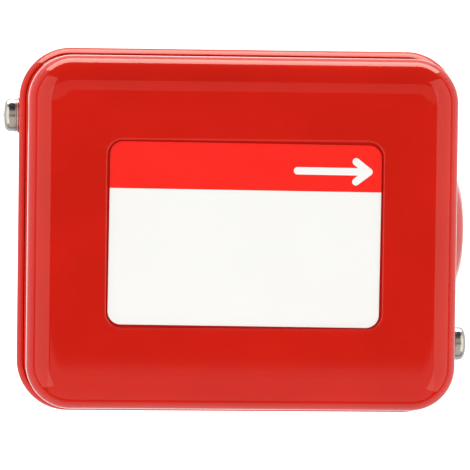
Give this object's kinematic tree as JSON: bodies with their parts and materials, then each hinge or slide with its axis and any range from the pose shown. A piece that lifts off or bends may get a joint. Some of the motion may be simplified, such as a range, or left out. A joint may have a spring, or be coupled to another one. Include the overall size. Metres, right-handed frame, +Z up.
{
  "type": "paddle flow switch",
  "caption": "Paddle flow switch with a brass pipe fitting, stainless paddle blades and a red sheet-steel housing whose cover lifts off a lever, spring and microswitch.",
  "frame": {"origin": "axis of the pipe thread, in the shoulder under the hexagon", "axes": "+Z up into the housing, +X the way the flow runs, +Y across the flow"},
  "size_m": [0.1104, 0.085, 0.1772],
  "materials": {
    "red_paint": "glossy stoved paint",
    "label_print": "satin printed film, red band over white",
    "zinc": "zinc-plated",
    "nickel": "bright nickel-plated",
    "stainless": "rolled stainless sheet",
    "brass": "machined",
    "bronze": "formed phosphor bronze",
    "spring_steel": "drawn wire",
    "gasket_rubber": "matt",
    "black_moulding": "fine matt moulding",
    "brown_moulding": "phenolic moulding",
    "red_plastic": "moulded",
    "insulating_sheet": "pressed board",
    "sleeve_plastic": "vinyl",
    "wire_insulation": "vinyl",
    "red_enamel": "enamelled screw head",
    "yellow_enamel": "enamelled screw head",
    "blue_enamel": "enamelled screw head",
    "green_enamel": "enamelled screw head"
  },
  "bodies": {
    "housing": {"base_tray": "red_paint", "cover_screws": "nickel", "cover_washers": "nickel", "cover_nuts": "zinc", "brass_body": "brass", "body_gasket": "gasket_rubber", "locknut": "brass", "bellows": "bronze", "mechanism_bracket": "zinc", "bracket_rivets": "zinc", "pivot_pins": "stainless", "stop_screw": "zinc", "stop_nut": "zinc", "range_spring": "spring_steel", "switch_body": "black_moulding", "switch_insulator": "insulating_sheet", "switch_screws": "zinc", "switch_tabs": "brass", "tab_sleeves": "sleeve_plastic", "lead_wires": "wire_insulation", "terminal_block": "brown_moulding", "terminal_plates": "brass", "terminal_screw_red": "red_enamel", "terminal_screw_yellow": "yellow_enamel", "terminal_screw_blue": "blue_enamel", "block_screws": "zinc", "earth_washer": "zinc", "earth_screw": "green_enamel"},
    "lever": {"lever_frame": "zinc", "paddle_rod": "brass", "rod_nut": "zinc", "bellows_cap": "brass", "paddle_short": "stainless", "paddle_middle": "stainless", "paddle_long": "stainless", "paddle_washer": "stainless", "paddle_screw": "stainless"},
    "leaf": {"switch_leaf": "stainless"},
    "plunger": {"switch_plunger": "red_plastic"},
    "adjuster": {"range_screw": "brass", "screw_clip": "spring_steel"},
    "spring_seat": {"spring_nut": "brass"},
    "lid": {"cover": "red_paint", "label_plate": "label_print"}
  },
  "joints": [
    {"name": "lever_swing", "type": "hinge", "parent": "housing", "child": "lever", "pos_m": [0, 0, 0.028], "axis": [0, -1, 0], "range_deg": [0, 5], "stiffness_Nm_per_rad": 0.35, "springref_deg": -9.74, "deforming": ["bellows", "range_spring"]},
    {"name": "leaf_swing", "type": "hinge", "parent": "housing", "child": "leaf", "pos_m": [0.05, 0, 0.0351], "axis": [0, 1, 0], "range_deg": [0, 7.4]},
    {"name": "plunger_travel", "type": "slide", "parent": "housing", "child": "plunger", "axis": [0, 0, 1], "range_m": [0, 0.00072]},
    {"name": "range_screw_turn", "type": "hinge", "parent": "housing", "child": "adjuster", "pos_m": [0.013, 0, 0.055], "axis": [0, 0, 1], "range_deg": [-1440, 1440]},
    {"name": "spring_nut_travel", "type": "slide", "parent": "housing", "child": "spring_seat", "axis": [0, 0, 1], "range_m": [-0.00318, 0.00318], "deforming": ["range_spring"]},
    {"name": "cover_lift", "type": "slide", "parent": "housing", "child": "lid", "axis": [0, 0, 1], "range_m": [0, 0.09]}
  ],
  "couplings": [
    {"joint": "leaf_swing", "follows": "lever_swing", "ratio": 1.46},
    {"joint": "plunger_travel", "follows": "lever_swing", "m_per_rad": 0.00803},
    {"joint": "range_screw_turn", "follows": "spring_nut_travel", "rad_per_m": -7854}
  ]
}
